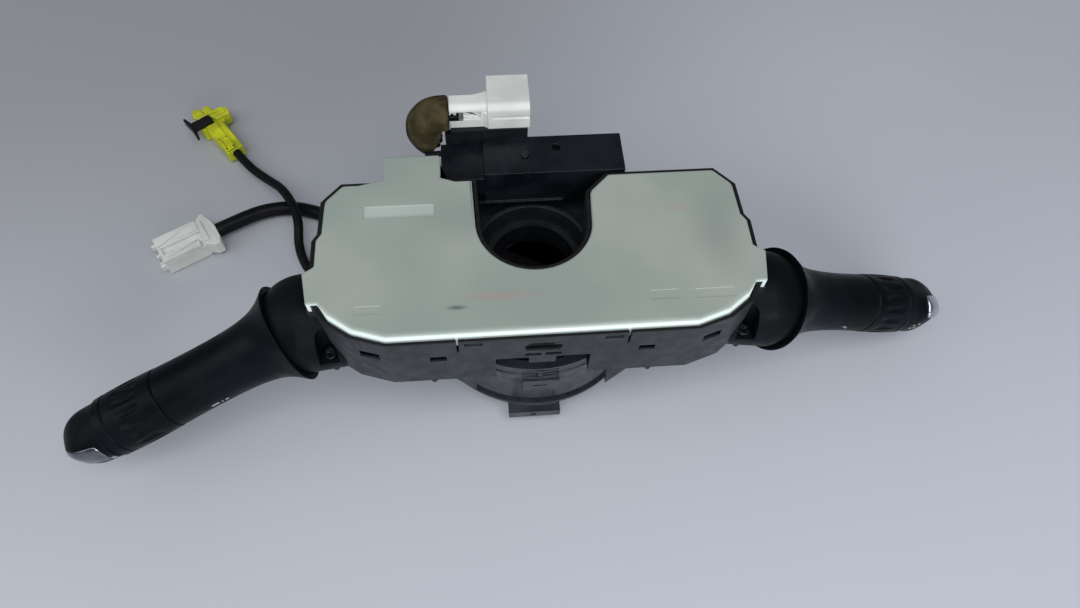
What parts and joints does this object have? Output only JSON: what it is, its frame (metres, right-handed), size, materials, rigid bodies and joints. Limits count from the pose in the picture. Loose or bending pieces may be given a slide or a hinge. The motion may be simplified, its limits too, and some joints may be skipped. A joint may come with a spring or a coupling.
{
  "type": "steering column switch module",
  "caption": "Steering column switch module with angle sensor: switch housing with rear cover, clock spring drum, turn and wiper levers, harness shelf and two wheel leads with plugs.",
  "frame": {"origin": "column axis at the rest face of the rotor hub, the side that faces the steering wheel", "axes": "+Z along the column axis to the rear cover, +X along the cover's long side, +Y to the harness shelf"},
  "size_m": [0.4172, 0.2302, 0.1096],
  "materials": {
    "cover_plastic": "milky satin",
    "housing_plastic": "fine matte grain",
    "board": "solder-masked board",
    "board_part": "moulded parts",
    "black_plastic": "satin",
    "bracket_plastic": "smooth",
    "screw_steel": "plated",
    "white_connector": "satin",
    "wire_cover": "smooth",
    "foam": "soft foam",
    "case_plastic": "fine matte grain",
    "slide_plastic": "smooth",
    "lever_plastic": "satin",
    "bright_trim": "bright",
    "pin_steel": "ground",
    "drum_plastic": "satin",
    "rotor_plastic": "satin",
    "yellow_plastic": "satin",
    "ribbon": "film",
    "sensor_plastic": "satin",
    "contact_brass": "plated",
    "gear_plastic": "smooth",
    "magnet": "nickel",
    "cable_rubber": "smooth sleeve"
  },
  "bodies": {
    "module": {"rear_cover": "cover_plastic", "switch_housing": "housing_plastic", "circuit_board": "board", "board_parts": "board_part", "board_header": "black_plastic", "harness_bracket": "bracket_plastic", "bracket_screws": "screw_steel", "top_connector_base": "black_plastic", "top_connector": "white_connector", "top_wires": "wire_cover", "foam_sleeve": "foam", "case_screws": "screw_steel", "left_case_upper": "case_plastic", "left_case_lower": "case_plastic", "left_detent_block": "slide_plastic", "right_case_upper": "case_plastic", "right_case_lower": "case_plastic", "right_detent_block": "slide_plastic", "clock_spring_case": "drum_plastic", "clock_spring_screws": "screw_steel", "ribbon_cable": "ribbon", "sensor_case": "sensor_plastic", "sensor_lid": "sensor_plastic", "sensor_board": "board", "sensor_pins": "contact_brass", "lead_block": "black_plastic", "horn_lead": "cable_rubber", "airbag_lead": "cable_rubber", "horn_plug": "white_connector", "airbag_plug": "yellow_plastic", "airbag_plug_lock": "black_plastic"},
    "rotor": {"rotor": "rotor_plastic", "rotor_flange": "rotor_plastic", "drive_lugs": "rotor_plastic", "rotor_sleeve": "rotor_plastic", "rotor_airbag_socket": "yellow_plastic", "rotor_horn_socket": "rotor_plastic", "sensor_drive_gear": "gear_plastic"},
    "gear_a": {"sensor_gear_a": "gear_plastic", "magnet_a": "magnet"},
    "gear_b": {"sensor_gear_b": "gear_plastic", "magnet_b": "magnet"},
    "left_carrier": {"left_carrier": "slide_plastic", "left_cross_pin": "pin_steel", "left_detent_plunger": "slide_plastic", "left_detent_spring": "pin_steel"},
    "left_lever": {"left_lever": "lever_plastic"},
    "left_ring": {"left_ring": "lever_plastic"},
    "left_knob": {"left_knob": "lever_plastic", "left_knob_trim": "bright_trim", "left_switch_rod": "pin_steel"},
    "right_carrier": {"right_carrier": "slide_plastic", "right_cross_pin": "pin_steel", "right_detent_plunger": "slide_plastic", "right_detent_spring": "pin_steel"},
    "right_lever": {"right_lever": "lever_plastic"},
    "right_ring": {"right_ring": "lever_plastic"},
    "right_knob": {"right_knob": "lever_plastic", "right_knob_trim": "bright_trim", "right_switch_rod": "pin_steel"}
  },
  "joints": [
    {"name": "rotor_spin", "type": "hinge", "parent": "module", "child": "rotor", "pos_m": [0, 0, 0], "axis": [0, 0, 1], "range_deg": [-900, 900]},
    {"name": "gear_a_spin", "type": "hinge", "parent": "module", "child": "gear_a", "pos_m": [-0.02973, -0.01386, 0], "axis": [0, 0, 1], "range_deg": [-2460, 2460]},
    {"name": "gear_b_spin", "type": "hinge", "parent": "module", "child": "gear_b", "pos_m": [0.029, -0.01352, 0], "axis": [0, 0, 1], "range_deg": [-2705, 2705]},
    {"name": "left_turn", "type": "hinge", "parent": "module", "child": "left_carrier", "pos_m": [-0.1, -0.028, 0.06], "axis": [0, 0, 1], "range_deg": [-27.4, 0]},
    {"name": "left_pull", "type": "hinge", "parent": "left_carrier", "child": "left_lever", "pos_m": [-0.1, -0.028, 0.06], "axis": [0.3338, -0.9426, 0], "range_deg": [0, 5], "stiffness_Nm_per_rad": 4, "springref_deg": -1.72},
    {"name": "left_ring_turn", "type": "hinge", "parent": "left_lever", "child": "left_ring", "pos_m": [-0.1, -0.028, 0.06], "axis": [-0.9061, -0.3209, -0.2756], "range_deg": [0, 60]},
    {"name": "left_knob_turn", "type": "hinge", "parent": "left_lever", "child": "left_knob", "pos_m": [-0.1, -0.028, 0.06], "axis": [-0.9061, -0.3209, -0.2756], "range_deg": [0, 45]},
    {"name": "right_turn", "type": "hinge", "parent": "module", "child": "right_carrier", "pos_m": [0.1, -0.028, 0.06], "axis": [0, 0, 1], "range_deg": [-21, 7]},
    {"name": "right_pull", "type": "hinge", "parent": "right_carrier", "child": "right_lever", "pos_m": [0.1, -0.028, 0.06], "axis": [-0.1374, 0.9905, 0], "range_deg": [0, 4.5], "stiffness_Nm_per_rad": 4, "springref_deg": -1.72},
    {"name": "right_ring_turn", "type": "hinge", "parent": "right_lever", "child": "right_ring", "pos_m": [0.1, -0.028, 0.06], "axis": [0.9164, 0.1272, -0.3795], "range_deg": [-30, 30]},
    {"name": "right_knob_turn", "type": "hinge", "parent": "right_lever", "child": "right_knob", "pos_m": [0.1, -0.028, 0.06], "axis": [0.9164, 0.1272, -0.3795], "range_deg": [-20, 20]}
  ],
  "couplings": [
    {"joint": "gear_a_spin", "follows": "rotor_spin", "ratio": -2.7273},
    {"joint": "gear_b_spin", "follows": "rotor_spin", "ratio": -3}
  ]
}
